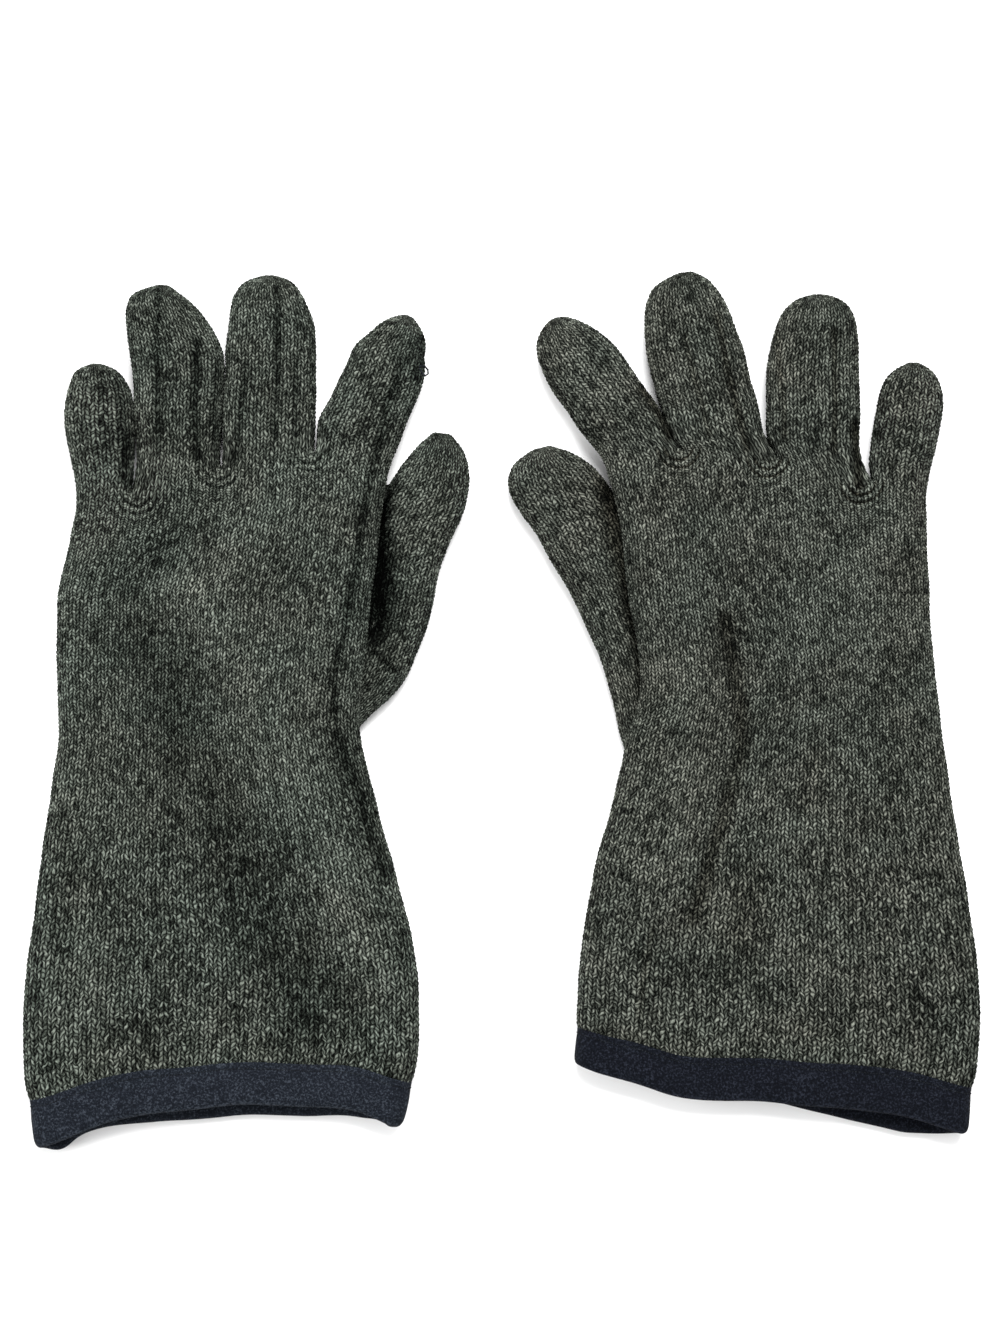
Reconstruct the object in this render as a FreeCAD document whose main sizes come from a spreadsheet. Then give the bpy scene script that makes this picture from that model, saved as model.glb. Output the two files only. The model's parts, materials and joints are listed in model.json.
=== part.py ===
import FreeCAD, Part
import math
import os
import Sketcher

# A pair of knitted heat resistant gloves lying flat, backs up, fingertips towards +Y.
# Every glove is a double tube: an outer knit and a liner inside it, split at the wrist and at
# two bends on each finger and thumb.  The hem of the cuff is bound with a folded tape.

doc = FreeCAD.newDocument("gloves")

# ---- driving dimensions, mm and degrees -------------------------------------------------
SIZES = {
    # fabric
    "shell_wall": 1.8, "liner_wall": 1.7, "layer_gap": 0.1, "hinge_gap": 0.8,
    # heights of the flattened tubes, and the height of their common middle plane
    "finger_depth": 13.0, "palm_depth": 16.0, "cuff_depth": 13.4, "mid_height": 8.0,
    "finger_round": 5.6, "palm_round": 6.8, "cuff_round": 6.0, "corner_round": 9.0,
    # palm and cuff outline
    "wrist_width": 116.0, "little_side": 51.5, "index_side": 65.5, "knuckle_line": 119.5,
    "crotch_line": 115.0, "crotch_side": 36.0, "little_crotch": 99.0, "index_crotch": 105.0,
    "thumb_crotch": 51.0, "web_line": 46.0, "thenar_line": 33.0, "notch_line": 12.0,
    "overlap": 14.0,
    "cuff_neck": 54.3, "cuff_little_side": 64.5, "cuff_thumb_side": 75.0,
    "cuff_reach": 153.0, "cuff_side_radius": 400.0,
    # fingers: width at the root and near the end, length from the first bend to the tip,
    # distance between the two bends
    "root_depth": 22.0,
    "index_root": 29.6, "index_end": 25.4, "index_length": 51.5, "index_bend": 25.0,
    "middle_root": 31.4, "middle_end": 30.4, "middle_length": 63.5, "middle_bend": 29.0,
    "ring_root": 31.0, "ring_end": 31.0, "ring_length": 58.5, "ring_bend": 27.0,
    "little_root": 23.0, "little_end": 23.4, "little_length": 42.5, "little_bend": 19.0,
    "thumb_root": 20.0, "thumb_end": 28.0, "thumb_length": 74.0, "thumb_bend": 35.0,
    "little_step": 12.5,
    # bending room, degrees
    "finger_curl": 70.0, "finger_lift": 15.0, "end_curl": 65.0, "thumb_curl": 50.0,
    "wrist_curl": 50.0, "wrist_lift": 40.0,
    # hem binding and its stitch line
    "binding_height": 15.0, "binding_tape": 0.8, "stitch_size": 0.4, "stitch_inset": 2.2,
}

# How each glove happens to lie: wrist position, side across the palm and lean of every finger.
# Leans are towards the thumb.
LAY = {
    "left": {
        "thumb_way": 1, "wrist_x": -105.7, "wrist_y": -25.1, "hem_slant": 4.5,
        "hem_length": 129.0, "web_side": 58.6, "thenar_side": 73.0, "notch_side": 56.5,
        "index": (52.2, 21.0), "middle": (19.8, 3.0), "ring": (-12.2, -2.3),
        "little": (-40.0, -5.6), "thumb": (71.2, 10.0),
    },
    "right": {
        "thumb_way": -1, "wrist_x": 105.6, "wrist_y": -23.2, "hem_slant": 9.0,
        "hem_length": 121.5, "web_side": 45.5, "thenar_side": 63.0, "notch_side": 58.5,
        "index": (57.2, 31.0), "middle": (23.7, 12.0), "ring": (-11.2, 0.0),
        "little": (-41.6, -12.0), "thumb": (60.4, 26.6),
    },
}
FINGERS = ("index", "middle", "ring", "little", "thumb")
FINGER_REACH = 90.0     # longer than any finger, for the prisms that divide one
GLOVE_REACH = 200.0     # longer than a palm or a cuff
WINDOW_SPARE = 1.0      # how far a dividing prism stands above and below a tube
STITCH_LIFT = 0.02      # the stitch line floats this far off the tape

sheet = doc.addObject("Spreadsheet::Sheet", "Sizes")
row = 1
for name, value in SIZES.items():
    sheet.set("A%d" % row, name)
    sheet.set("B%d" % row, str(value))
    sheet.setAlias("B%d" % row, name)
    row += 1
for side, lay in LAY.items():
    for name, value in lay.items():
        values = value if isinstance(value, tuple) else (value,)
        endings = ("_side", "_lean") if isinstance(value, tuple) else ("",)
        for ending, number in zip(endings, values):
            sheet.set("A%d" % row, "%s_%s%s" % (side, name, ending))
            sheet.set("B%d" % row, str(number))
            sheet.setAlias("B%d" % row, "%s_%s%s" % (side, name, ending))
            row += 1
doc.recompute()


def size(name):
    """A driving dimension read back from the sheet."""
    return float(sheet.get(name))


def tan(degrees):
    return math.tan(math.radians(degrees))


def body_at(label, x, y, z, turn):
    """An empty body standing at a point, turned about +Z."""
    body = doc.addObject("PartDesign::Body", label)
    spin = FreeCAD.Rotation(FreeCAD.Vector(0, 0, 1), turn)
    body.Placement = FreeCAD.Placement(FreeCAD.Vector(x, y, z), spin)
    return body


def sketch_on(body, role, label):
    plane = [f for f in body.Origin.OriginFeatures if f.Role == role][0]
    sketch = body.newObject("Sketcher::SketchObject", label)
    sketch.AttachmentSupport = (plane, [""])
    sketch.MapMode = "FlatFace"
    return sketch


def bind(sketch, constraint, expression):
    """Adds a dimension that follows an expression on the sheet."""
    index = sketch.addConstraint(constraint)
    sketch.setExpression("Constraints[%d]" % index, expression)


def closed_lines(sketch, points):
    """A closed polygon in a sketch, corners joined."""
    count = len(points)
    for i in range(count):
        start = FreeCAD.Vector(points[i][0], points[i][1], 0)
        end = FreeCAD.Vector(points[(i + 1) % count][0], points[(i + 1) % count][1], 0)
        sketch.addGeometry(Part.LineSegment(start, end), False)
    for i in range(count):
        sketch.addConstraint(Sketcher.Constraint("Coincident", i, 2, (i + 1) % count, 1))


def pin(sketch, edge, end, x, y):
    """Fixes one end of a sketch edge by two signed distances given as expressions."""
    here = sketch.getPoint(edge, end)
    bind(sketch, Sketcher.Constraint("DistanceX", -1, 1, edge, end, here.x), x)
    bind(sketch, Sketcher.Constraint("DistanceY", -1, 1, edge, end, here.y), y)


def thicken(body, sketch, label, depth):
    pad = body.newObject("PartDesign::Pad", label)
    pad.Profile = sketch
    pad.SideType = "Symmetric"
    pad.setExpression("Length", depth)
    body.Tip = pad
    doc.recompute()
    return pad


def round_edges(body, base, label, wanted, radius):
    """Rounds the edges of a feature that pass a test."""
    names = ["Edge%d" % (i + 1) for i, edge in enumerate(base.Shape.Edges) if wanted(edge)]
    fillet = body.newObject("PartDesign::Fillet", label)
    fillet.Base = (base, names)
    fillet.setExpression("Radius", radius)
    body.Tip = fillet
    doc.recompute()
    return fillet


def middle_of(edge):
    return edge.valueAt((edge.FirstParameter + edge.LastParameter) / 2)


def on_faces(edge, depth):
    """True for an edge lying in the top or bottom face of a pad."""
    return all(abs(abs(v.Z) - depth / 2) < 1e-4 for v in edge.Vertexes)


# ---- solid forms: the outline of a tube taken in by some distance -------------------------
def finger_form(side, finger, layer, inset):
    """A flattened rounded finger, its root buried in the palm, taken in by an inset."""
    lay = LAY[side]
    way = lay["thumb_way"]
    x, lean = lay[finger]
    length = size(finger + "_length")
    root = size(finger + "_root") / 2 - inset
    end = size(finger + "_end") / 2 - inset
    reach = length + size("root_depth") - size(finger + "_end") / 2
    y = hinge_height(finger)
    back = size("root_depth")
    body = body_at("%s_%s_%s" % (side, finger, layer),
                   lay["wrist_x"] + way * (x - back * math.sin(math.radians(lean))),
                   lay["wrist_y"] + y - back * math.cos(math.radians(lean)),
                   size("mid_height"), -way * lean)
    sketch = sketch_on(body, "XY_Plane", body.Label + "_outline")
    slope = math.asin((root - end) / reach)
    up = FreeCAD.Vector(0, 0, 1)
    root_arc = Part.ArcOfCircle(Part.Circle(FreeCAD.Vector(0, 0, 0), up, root),
                                math.pi - slope, 2 * math.pi + slope)
    end_arc = Part.ArcOfCircle(Part.Circle(FreeCAD.Vector(0, reach, 0), up, end),
                               slope, math.pi - slope)
    sketch.addGeometry(root_arc, False)
    sketch.addGeometry(Part.LineSegment(root_arc.EndPoint, end_arc.StartPoint), False)
    sketch.addGeometry(end_arc, False)
    sketch.addGeometry(Part.LineSegment(end_arc.EndPoint, root_arc.StartPoint), False)
    for first, second in ((0, 1), (1, 2), (2, 3), (3, 0)):
        sketch.addConstraint(Sketcher.Constraint("Tangent", first, 2, second, 1))
    sketch.addConstraint(Sketcher.Constraint("Coincident", 0, 3, -1, 1))
    sketch.addConstraint(Sketcher.Constraint("PointOnObject", 2, 3, -2))
    bind(sketch, Sketcher.Constraint("DistanceY", 0, 3, 2, 3, reach),
         "Sizes.{0}_length + Sizes.root_depth - Sizes.{0}_end / 2".format(finger))
    bind(sketch, Sketcher.Constraint("Radius", 0, root),
         "Sizes.%s_root / 2 - %g" % (finger, inset))
    bind(sketch, Sketcher.Constraint("Radius", 2, end),
         "Sizes.%s_end / 2 - %g" % (finger, inset))
    depth = size("finger_depth") - 2 * inset
    pad = thicken(body, sketch, body.Label + "_slab", "Sizes.finger_depth - %g" % (2 * inset))
    round_edges(body, pad, body.Label + "_round", lambda e: on_faces(e, depth),
                "Sizes.finger_round - %g" % inset)
    return body


def palm_form(side, layer, inset):
    """The flattened palm from below the wrist to the finger crotches."""
    lay = LAY[side]
    way = lay["thumb_way"]
    body = body_at("%s_palm_%s" % (side, layer), lay["wrist_x"], lay["wrist_y"],
                   size("mid_height"), 0)
    sketch = sketch_on(body, "XY_Plane", body.Label + "_outline")
    corners = (
        ("-Sizes.wrist_width / 2 + {0}", "-Sizes.overlap"),
        ("-Sizes.little_side + {0}", "Sizes.little_crotch - {0}"),
        ("Sizes.crotch_side", "Sizes.crotch_line - {0}"),
        ("Sizes.index_side - {0}", "Sizes.index_crotch - {0}"),
        ("Sizes.%s_web_side - {0}" % side, "Sizes.web_line"),
        ("Sizes.%s_thenar_side - {0}" % side, "Sizes.thenar_line"),
        ("Sizes.%s_notch_side - {0}" % side, "Sizes.notch_line"),
        ("Sizes.wrist_width / 2 - {0}", "-Sizes.overlap"),
    )
    corners = [(x.format(inset), y.format(inset)) for x, y in corners]
    points = [(way * sheet_value(x), sheet_value(y)) for x, y in corners]
    closed_lines(sketch, points)
    for i, (x, y) in enumerate(corners):
        pin(sketch, i, 1, "%d * (%s)" % (way, x), y)
    depth = size("palm_depth") - 2 * inset
    pad = thicken(body, sketch, body.Label + "_slab", "Sizes.palm_depth - %g" % (2 * inset))
    low = -size("overlap")

    def upright(edge):
        return abs(edge.Vertexes[0].Z - edge.Vertexes[1].Z) > depth / 2 and middle_of(edge).y > 0

    rounded = round_edges(body, pad, body.Label + "_corners", upright,
                          "Sizes.corner_round - %g" % inset)
    round_edges(body, rounded, body.Label + "_round",
                lambda e: on_faces(e, depth) and abs(middle_of(e).y - low) > 1e-3,
                "Sizes.palm_round - %g" % inset)
    return body


def cuff_form(side, layer, inset):
    """The flared cuff from above the wrist to past the hem, with bowed sides."""
    lay = LAY[side]
    way = lay["thumb_way"]
    body = body_at("%s_cuff_%s" % (side, layer), lay["wrist_x"], lay["wrist_y"],
                   size("mid_height"), 0)
    sketch = sketch_on(body, "XY_Plane", body.Label + "_outline")
    corners = (
        ("-Sizes.cuff_neck + {0}", "Sizes.overlap"),
        ("Sizes.cuff_neck - {0}", "Sizes.overlap"),
        ("Sizes.cuff_thumb_side - {0}", "-Sizes.cuff_reach"),
        ("-Sizes.cuff_little_side + {0}", "-Sizes.cuff_reach"),
    )
    corners = [(x.format(inset), y.format(inset)) for x, y in corners]
    points = [FreeCAD.Vector(way * sheet_value(x), sheet_value(y), 0) for x, y in corners]
    sketch.addGeometry(Part.LineSegment(points[0], points[1]), False)
    sketch.addGeometry(bowed(points[1], points[2], way), False)
    sketch.addGeometry(Part.LineSegment(points[2], points[3]), False)
    sketch.addGeometry(bowed(points[3], points[0], way), False)
    # an arc runs anticlockwise, so its first end depends on which way the thumb points
    ends = {1: (1, 2), 3: (1, 2)} if way < 0 else {1: (2, 1), 3: (2, 1)}
    for line, arc in ((0, 1), (2, 3)):
        sketch.addConstraint(Sketcher.Constraint("Coincident", line, 2, arc, ends[arc][0]))
        sketch.addConstraint(
            Sketcher.Constraint("Coincident", arc, ends[arc][1], (line + 2) % 4, 1))
    for edge, first in ((0, 0), (2, 2)):
        for end in (1, 2):
            x, y = corners[first + end - 1]
            pin(sketch, edge, end, "%d * (%s)" % (way, x), y)
    for arc in (1, 3):
        bind(sketch, Sketcher.Constraint("Radius", arc, size("cuff_side_radius")),
             "Sizes.cuff_side_radius")
    depth = size("cuff_depth") - 2 * inset
    pad = thicken(body, sketch, body.Label + "_slab", "Sizes.cuff_depth - %g" % (2 * inset))
    round_edges(body, pad, body.Label + "_round",
                lambda e: on_faces(e, depth) and isinstance(e.Curve, Part.Circle),
                "Sizes.cuff_round - %g" % inset)
    return body


def bowed(start, end, way):
    """An arc of the cuff's side radius, bulging outwards between two points."""
    chord = end - start
    radius = size("cuff_side_radius")
    outward = FreeCAD.Vector(-chord.y, chord.x, 0).normalize() * way
    centre = (start + end) * 0.5 - outward * math.sqrt(radius ** 2 - (chord.Length / 2) ** 2)
    first, last = [math.atan2(p.y - centre.y, p.x - centre.x) for p in (start, end)]
    if (last - first) % (2 * math.pi) > math.pi:
        first, last = last, first
    circle = Part.Circle(centre, FreeCAD.Vector(0, 0, 1), radius)
    return Part.ArcOfCircle(circle, first, first + (last - first) % (2 * math.pi))


def sheet_value(expression):
    """The number an expression on the sheet stands for."""
    return float(sheet.evalExpression(expression.replace("Sizes.", "")))


def hinge_height(finger):
    """Distance of a finger's first bend from the wrist."""
    if finger == "thumb":
        return size("thumb_crotch")
    if finger == "little":
        return size("knuckle_line") - size("little_step")
    return size("knuckle_line")


# ---- windows: prisms that keep one stretch of a tube and leave room to bend ---------------
def window(label, x, y, turn, width, profile):
    """A prism along X whose (Y, Z) profile is given from the hinge line."""
    body = body_at(label, x, y, size("mid_height"), turn)
    sketch = sketch_on(body, "YZ_Plane", label + "_profile")
    closed_lines(sketch, profile)
    for i, (across, up) in enumerate(profile):
        pin(sketch, i, 1, "%g" % across, "%g" % up)
    thicken(body, sketch, label + "_prism", "%g" % width)
    return body


def before(curl, lift, tall, far):
    """Profile of all that lies before a hinge, cut back for bending down and up."""
    gap = size("hinge_gap") / 2
    return [(-far, -tall), (-gap - tall * tan(curl / 2), -tall), (-gap, 0),
            (-gap - tall * tan(lift / 2), tall), (-far, tall)]


def between(curl, lift, next_curl, bend, tall):
    """Profile of the stretch between two hinges."""
    gap = size("hinge_gap") / 2
    return [(gap, 0), (gap + tall * tan(curl / 2), -tall),
            (bend - gap - tall * tan(next_curl / 2), -tall), (bend - gap, 0),
            (bend - gap, tall), (gap + tall * tan(lift / 2), tall)]


def beyond(curl, lift, tall, far):
    """Profile of all that lies beyond a hinge."""
    return [(-across, up) for across, up in before(curl, lift, tall, far)]


# ---- building blocks -----------------------------------------------------------------------
def cut(label, base, tool):
    made = doc.addObject("Part::Cut", label)
    made.Base = base
    made.Tool = tool
    return made


def common(label, base, tool):
    made = doc.addObject("Part::Common", label)
    made.Base = base
    made.Tool = tool
    return made


def fuse(label, shapes):
    made = doc.addObject("Part::MultiFuse", label)
    made.Shapes = shapes
    return made


nodes = []


def node(made):
    nodes.append(made)
    return made


def insets():
    """How far each layer boundary lies inside the outer surface."""
    shell = size("shell_wall")
    return {"skin": 0.0, "bore": shell, "lining": shell + size("layer_gap"),
            "hollow": shell + size("layer_gap") + size("liner_wall")}


def build_fingers(side):
    """All finger and thumb forms, and the windows that divide them."""
    lay = LAY[side]
    way = lay["thumb_way"]
    tall = size("finger_depth") / 2 + WINDOW_SPARE
    built = {}
    for finger in FINGERS:
        x, lean = lay[finger]
        turn = -way * lean if finger == "thumb" else 0
        curl = size("thumb_curl") if finger == "thumb" else size("finger_curl")
        lift = size("finger_lift")
        end_curl = size("end_curl")
        bend = size(finger + "_bend")
        width = 3 * size(finger + "_root")
        across = lay["wrist_x"] + way * x
        along = lay["wrist_y"] + hinge_height(finger)
        # the second hinge sits on the finger's own centre line
        if finger == "thumb":
            second_x = across + way * bend * math.sin(math.radians(lean))
            second_y = along + bend * math.cos(math.radians(lean))
        else:
            second_x = across + way * bend * tan(lean)
            second_y = along + bend
        name = "%s_%s" % (side, finger)
        built[finger] = {
            "forms": {layer: finger_form(side, finger, layer, inset)
                      for layer, inset in insets().items()},
            "hand": window(name + "_hand_window", across, along, turn, width,
                           before(curl, lift, tall, FINGER_REACH)),
            "base": window(name + "_base_window", across, along, turn, width,
                           between(curl, lift, end_curl, bend, tall)),
            "tip": window(name + "_tip_window", second_x, second_y, turn, width,
                          beyond(end_curl, 0, tall, FINGER_REACH)),
        }
    return built


def finger_nodes(side, finger, built):
    """Shell and liner of the two stretches of one finger."""
    forms = built["forms"]
    name = "%s_%s" % (side, finger)
    tubes = {"shell": cut(name + "_shell_tube", forms["skin"], forms["bore"]),
             "liner": cut(name + "_liner_tube", forms["lining"], forms["hollow"])}
    for stretch in ("base", "tip"):
        for layer in ("shell", "liner"):
            node(common("%s_%s_%s" % (name, stretch, layer), tubes[layer], built[stretch]))


def hand_nodes(side, built):
    """Palm with the stubs of all five fingers, as shell and liner."""
    lay = LAY[side]
    palms = {layer: palm_form(side, layer, inset) for layer, inset in insets().items()}
    tall = size("palm_depth") / 2 + WINDOW_SPARE
    reach = window(side + "_hand_window", lay["wrist_x"], lay["wrist_y"], 0,
                   3 * size("wrist_width"),
                   beyond(size("wrist_curl"), size("wrist_lift"), tall, GLOVE_REACH))
    for layer, outside, inside in (("shell", "skin", "bore"), ("liner", "lining", "hollow")):
        name = "%s_hand_%s" % (side, layer)
        stubs = [common("%s_%s_stub" % (name, finger), built[finger]["forms"][outside],
                        built[finger]["hand"]) for finger in FINGERS]
        solid = fuse(name + "_solid", [palms[outside]] + stubs)
        hollow = fuse(name + "_hollow",
                      [palms[inside]] + [built[finger]["forms"][inside] for finger in FINGERS])
        node(common(name, cut(name + "_tube", solid, hollow), reach))


def hem_box(side, label, start, stretch):
    """A block across the cuff, slanted with the hem, from start above the hem line."""
    lay = LAY[side]
    way = lay["thumb_way"]
    block = doc.addObject("Part::Box", label)
    block.setExpression("Length", "3 * Sizes.wrist_width")
    block.setExpression("Width", stretch)
    block.setExpression("Height", "3 * Sizes.cuff_depth")
    spin = FreeCAD.Rotation(FreeCAD.Vector(0, 0, 1), way * lay["hem_slant"])
    hem = FreeCAD.Vector(lay["wrist_x"], lay["wrist_y"] - lay["hem_length"],
                         size("mid_height") - 1.5 * size("cuff_depth"))
    corner = spin.multVec(FreeCAD.Vector(-1.5 * size("wrist_width"), start, 0))
    block.Placement = FreeCAD.Placement(hem + corner, spin)
    return block


def cuff_nodes(side):
    """Shell, liner, hem binding and its stitch line."""
    lay = LAY[side]
    tape = size("binding_tape")
    gap = size("layer_gap")
    far = "%g" % GLOVE_REACH
    forms = {layer: cuff_form(side, layer, inset) for layer, inset in insets().items()}
    tall = size("cuff_depth") / 2 + WINDOW_SPARE
    reach = window(side + "_cuff_window", lay["wrist_x"], lay["wrist_y"], 0,
                   3 * size("wrist_width"),
                   before(size("wrist_curl"), size("wrist_lift"), tall, GLOVE_REACH))
    above_fold = hem_box(side, side + "_above_fold", tape + gap, far)
    for layer, outside, inside in (("shell", "skin", "bore"), ("liner", "lining", "hollow")):
        name = "%s_cuff_%s" % (side, layer)
        tube = cut(name + "_tube", forms[outside], forms[inside])
        node(common(name, common(name + "_long", tube, reach), above_fold))

    # the tape wraps the hem: outside, round the edge and back up inside
    total = insets()["hollow"]
    outer = cuff_form(side, "tape_outer", -gap - tape)
    channel_out = cuff_form(side, "tape_channel_out", -gap)
    channel_in = cuff_form(side, "tape_channel_in", total + gap)
    mouth = cuff_form(side, "tape_mouth", total + gap + tape)
    name = side + "_cuff_binding"
    stretch = hem_box(side, name + "_stretch", 0, "Sizes.binding_height")
    band = common(name + "_band", outer, stretch)
    channel = common(name + "_channel", cut(name + "_walls", channel_out, channel_in),
                     hem_box(side, name + "_above", tape, far))
    node(cut(name, cut(name + "_folded", band, channel), mouth))

    stitch = size("stitch_size")
    ring = cut(side + "_stitch_ring", cuff_form(side, "stitch_out", -gap - tape - stitch),
               cuff_form(side, "stitch_in", -gap - tape - STITCH_LIFT))
    row = size("binding_height") - size("stitch_inset")
    line = hem_box(side, side + "_stitch_row", row, "2 * Sizes.stitch_size")
    node(common(side + "_binding_stitch", ring, line))


for side in LAY:
    fingers = build_fingers(side)
    cuff_nodes(side)
    hand_nodes(side, fingers)
    for finger in FINGERS:
        finger_nodes(side, finger, fingers[finger])

doc.recompute()

for made in doc.Objects:
    if "Invalid" in made.State or "Error" in made.State:
        raise ValueError("%s did not build" % made.Label)
for made in nodes:
    shape = made.Shape
    if shape.isNull() or not shape.isValid() or len(shape.Solids) != 1:
        raise ValueError("%s has a bad shape, %d solids" % (made.Label, len(shape.Solids)))

os.makedirs("parts", exist_ok=True)
for made in nodes:
    made.Shape.exportStep("parts/%s.step" % made.Label)
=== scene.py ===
import json
import math

import bpy
import numpy as np
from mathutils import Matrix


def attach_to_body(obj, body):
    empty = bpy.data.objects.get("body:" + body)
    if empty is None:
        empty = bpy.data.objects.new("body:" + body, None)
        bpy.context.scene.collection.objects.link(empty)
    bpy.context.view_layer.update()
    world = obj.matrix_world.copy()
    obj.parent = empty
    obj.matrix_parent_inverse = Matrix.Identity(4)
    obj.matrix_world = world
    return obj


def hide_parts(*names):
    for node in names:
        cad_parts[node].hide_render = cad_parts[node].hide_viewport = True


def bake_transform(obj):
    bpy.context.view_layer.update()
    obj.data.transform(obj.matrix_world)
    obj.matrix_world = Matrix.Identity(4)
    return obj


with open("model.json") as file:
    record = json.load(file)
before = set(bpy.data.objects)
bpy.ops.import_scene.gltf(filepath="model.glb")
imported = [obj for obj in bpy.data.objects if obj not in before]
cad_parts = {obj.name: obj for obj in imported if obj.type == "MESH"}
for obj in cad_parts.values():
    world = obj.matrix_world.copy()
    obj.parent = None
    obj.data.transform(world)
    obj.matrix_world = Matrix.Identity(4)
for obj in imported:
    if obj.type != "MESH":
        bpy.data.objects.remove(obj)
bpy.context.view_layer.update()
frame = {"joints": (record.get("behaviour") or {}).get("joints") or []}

# A pair of knitted gloves, backs up.  Every glove is one knitted tube: cuff and palm share a
# ring of wales that splits at the crotches into four fingers, and the thumb is a tube of its
# own.  One coarse cell is one stitch wide; it is subdivided and each stitch is raised as a V.
# Shapes are worked out in millimetres in a glove's own frame: origin on the wrist hinge,
# +X to the thumb, +Y to the fingertips, and mirrored for the right glove.

MM = 0.001

WALES = 94                  # stitches round the cuff and the palm
CUFF_COURSE = 1.8           # height of a row of stitches on the cuff
COURSE = 1.5                # and above the wrist
CELL = 2.2                  # height of a coarse cell
SPLIT = (0, 9, 22, 35, 47)  # wales of the back where the fingers part
WEB = 3                     # stitches down the side of a finger at a crotch
FINGERS = ("little", "ring", "middle", "index")
THUMB_WALES = 28
STITCH_RISE = 0.66          # how far a stitch stands up
SLANT = 1.05                # rows a leg of a stitch climbs across its width
TAPE = 15.0                 # height of the hem's tape
FOLD_ROW = 10.0             # row of the tape's outline where it folds over the hem
FLAT_RINGS = 10             # coarse rings of the knit that the tape is laid on
FLOOR = -7.7                # height of the table under the wrist hinge
WALL = 1.9                  # distance from the outer face to the liner's
LOOP_YARN = 0.36            # radius of the loose loop's yarn, and the loop's path
LOOP = ((73.5, 148.0, 1.0), (75.5, 149.2, 2.6), (77.2, 149.8, 3.3), (78.8, 149.6, 3.2), (79.9, 148.4, 2.9),
        (80.0, 146.9, 2.6), (78.9, 146.2, 2.4), (77.9, 146.9, 2.6), (77.2, 148.2, 3.0), (76.0, 149.6, 2.6),
        (74.6, 150.8, 1.4))
BODY_HEM, BODY_TOP = -123, 112   # mean heights of the hem and the crotches
CUFF_TOP = -16              # where the piece of knit that belongs to the cuff ends
THUMB_LEVEL = 100           # ring of the palm whose row of stitches the thumb starts on
LEVELS = (0, 44, 60, 300)   # coarse rings, and the rows of stitches they lie on
ROWS = (0, 44 * CELL / CUFF_COURSE, 44 * CELL / CUFF_COURSE + 16 * CELL / 1.65,
        44 * CELL / CUFF_COURSE + 16 * CELL / 1.65 + 240 * CELL / COURSE)

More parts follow.
